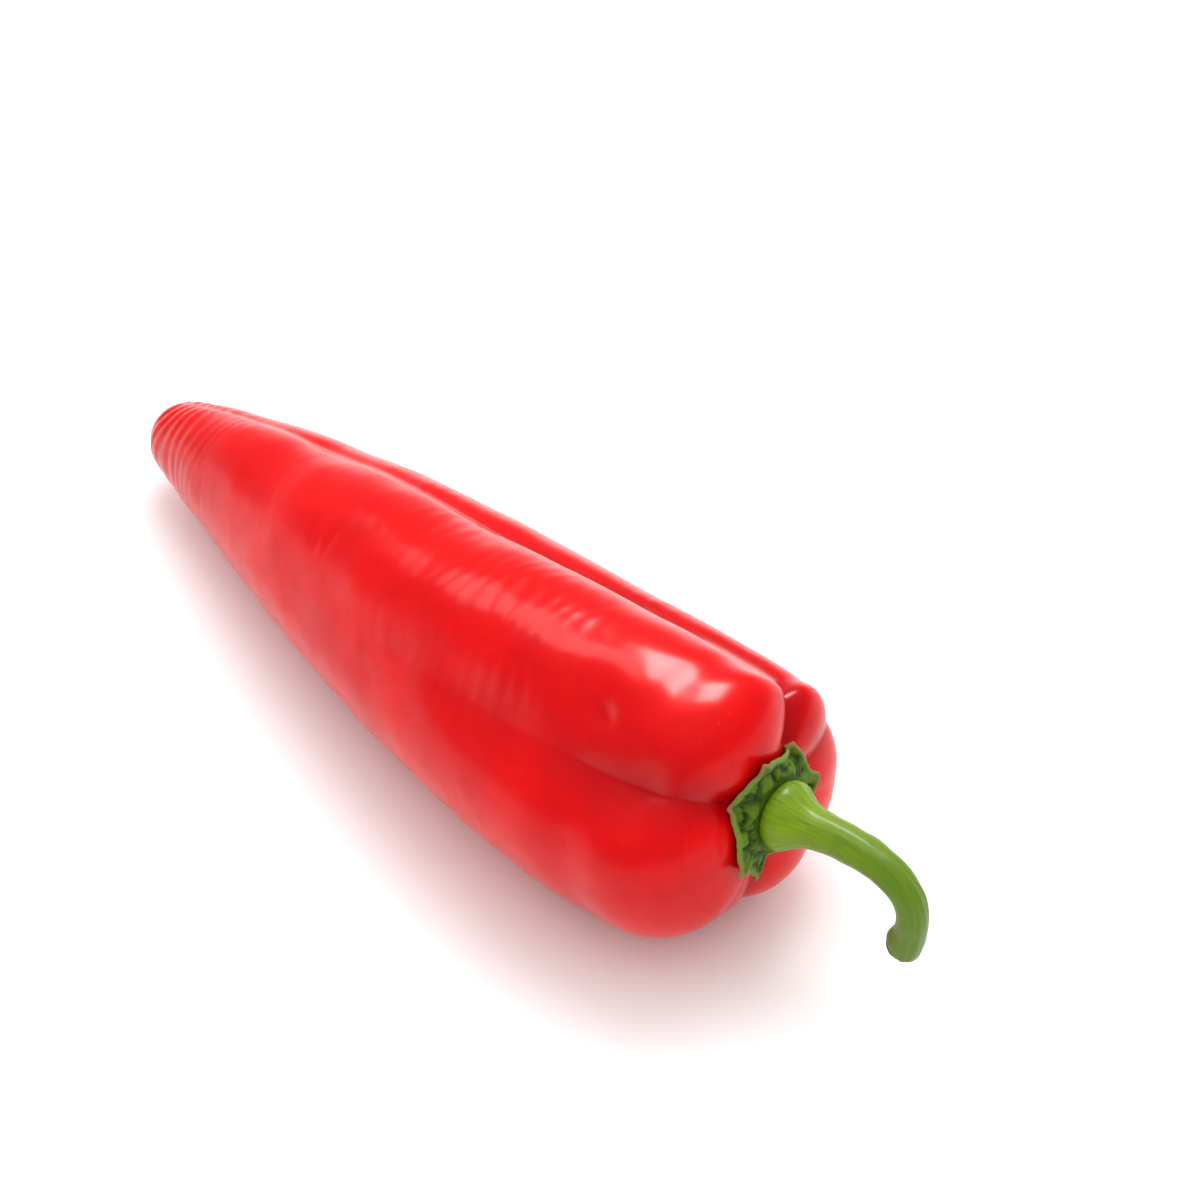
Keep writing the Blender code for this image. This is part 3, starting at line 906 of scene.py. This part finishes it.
ROOM_LIGHT = 0.12            # the room's light from below
OVER_LIGHT = 1.08            # what it gains overhead
OVER_EDGE = (-0.05, 0.75)    # heights of a unit ray between which "overhead" fades in
FAR_LIGHT = 0.34             # what it gains on the far side
FAR_SIDE = (-0.64, 0.62, 0.45)
FAR_EDGE = (0.0, 0.9)        # cosines from the far side between which it fades in
OVER_REFLECTION = 0.03       # the room's level overhead in reflections
LOW_REFLECTION = 0.50        # what it gains towards the horizon and below

WINDOW_SIDE = (-0.23, 0.35, 0.91)
TIP_SIDE = (-0.64, -0.04, 0.77)

CAMERA_TURN = 46.37          # degrees from -Y towards +X
CAMERA_RISE = 43.95          # degrees above the floor
CAMERA_DISTANCE = 0.7153
CAMERA_LENS = 100.0          # millimetres
AIM_OFFSET = (0.0141, 0.0215, 0.0046)   # from the middle of the pepper to the middle of the view

low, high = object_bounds()
middle = (low + high) / 2


def soft_light(name, side, distance, size, watts, only_gloss=True):
    """A rectangular light on one side of the pepper, turned to face it."""
    data = bpy.data.lights.new(name, "AREA")
    data.shape = "RECTANGLE"
    data.size, data.size_y = size
    data.energy = watts
    light = bpy.data.objects.new(name, data)
    light.location = middle + Vector(side).normalized() * distance
    light.rotation_euler = (middle - light.location).to_track_quat("-Z", "Y").to_euler()
    light.visible_diffuse = not only_gloss
    bpy.context.scene.collection.objects.link(light)


def white_table():
    """A square, matt white floor just under the pepper."""
    material, _, _ = new_finish("white_table", {
        "Base Color": TABLE_GREY,
        "Roughness": 0.55,
        "Specular IOR Level": 0.2,
    })
    half = FLOOR_SIZE / 2
    corners = [(x * half, y * half, -FLOOR_GAP) for x, y in ((-1, -1), (1, -1), (1, 1), (-1, 1))]
    mesh = bpy.data.meshes.new("table")
    mesh.from_pydata(corners, [], [(0, 1, 2, 3)])
    mesh.materials.append(material)
    table = bpy.data.objects.new("table", mesh)
    bpy.context.scene.collection.objects.link(table)


def bright_room():
    """The world's light, with a level of its own for reflections, and plain white to the eye.

    Its level for lighting rises as a smoothstep of a ray's height, and of its cosine from the far
    side. In reflections it falls with height, as the square of 1 minus that smoothstep.
    """
    world = bpy.data.worlds.new("room")
    world.use_nodes = True
    tree = world.node_tree
    shader = Signal(tree)
    ray = shader.node("ShaderNodeTexCoord", {}, output="Generated")
    over = ray.parts()[2].between(*OVER_EDGE)
    dot = {0: ray, 1: FAR_SIDE}
    far = shader.node("ShaderNodeVectorMath", dot, output="Value", operation="DOT_PRODUCT")
    lit = ROOM_LIGHT + OVER_LIGHT * over + FAR_LIGHT * far.between(*FAR_EDGE)
    mirrored = OVER_REFLECTION + LOW_REFLECTION * (1 - over) ** 2
    seen = shader.node("ShaderNodeLightPath", {}, output="Is Camera Ray")
    glossy = shader.node("ShaderNodeLightPath", {}, output="Is Glossy Ray")
    level = lit + glossy * (mirrored - lit)
    background = tree.nodes["Background"]
    background.inputs["Color"].default_value = (1, 1, 1, 1)
    tree.links.new((level + seen * (1.0 - level)).socket, background.inputs["Strength"])
    bpy.context.scene.world = world


def aimed_camera():
    """The camera, at a turn and a rise round the middle of the view, and upright."""
    turn, rise = np.radians([CAMERA_TURN, CAMERA_RISE])
    back = Vector((np.sin(turn) * np.cos(rise), -np.cos(turn) * np.cos(rise), np.sin(rise)))
    right = Vector((np.cos(turn), np.sin(turn), 0))
    data = bpy.data.cameras.new("camera")
    data.lens = CAMERA_LENS
    camera = bpy.data.objects.new("camera", data)
    turned = Matrix((right, back.cross(right), back)).transposed().to_4x4()
    place = middle + Vector(AIM_OFFSET) + back * CAMERA_DISTANCE
    camera.matrix_world = Matrix.Translation(place) @ turned
    bpy.context.scene.collection.objects.link(camera)
    bpy.context.scene.camera = camera


white_table()
bright_room()
soft_light("window", WINDOW_SIDE, distance=0.95, size=(0.44, 0.56), watts=17.0)
soft_light("overhead", WINDOW_SIDE, distance=0.95, size=(0.60, 0.60), watts=4.6, only_gloss=False)
soft_light("far_end", TIP_SIDE, distance=1.20, size=(0.50, 0.70), watts=4.4)
aimed_camera()
bpy.context.scene.view_settings.view_transform = "Standard"
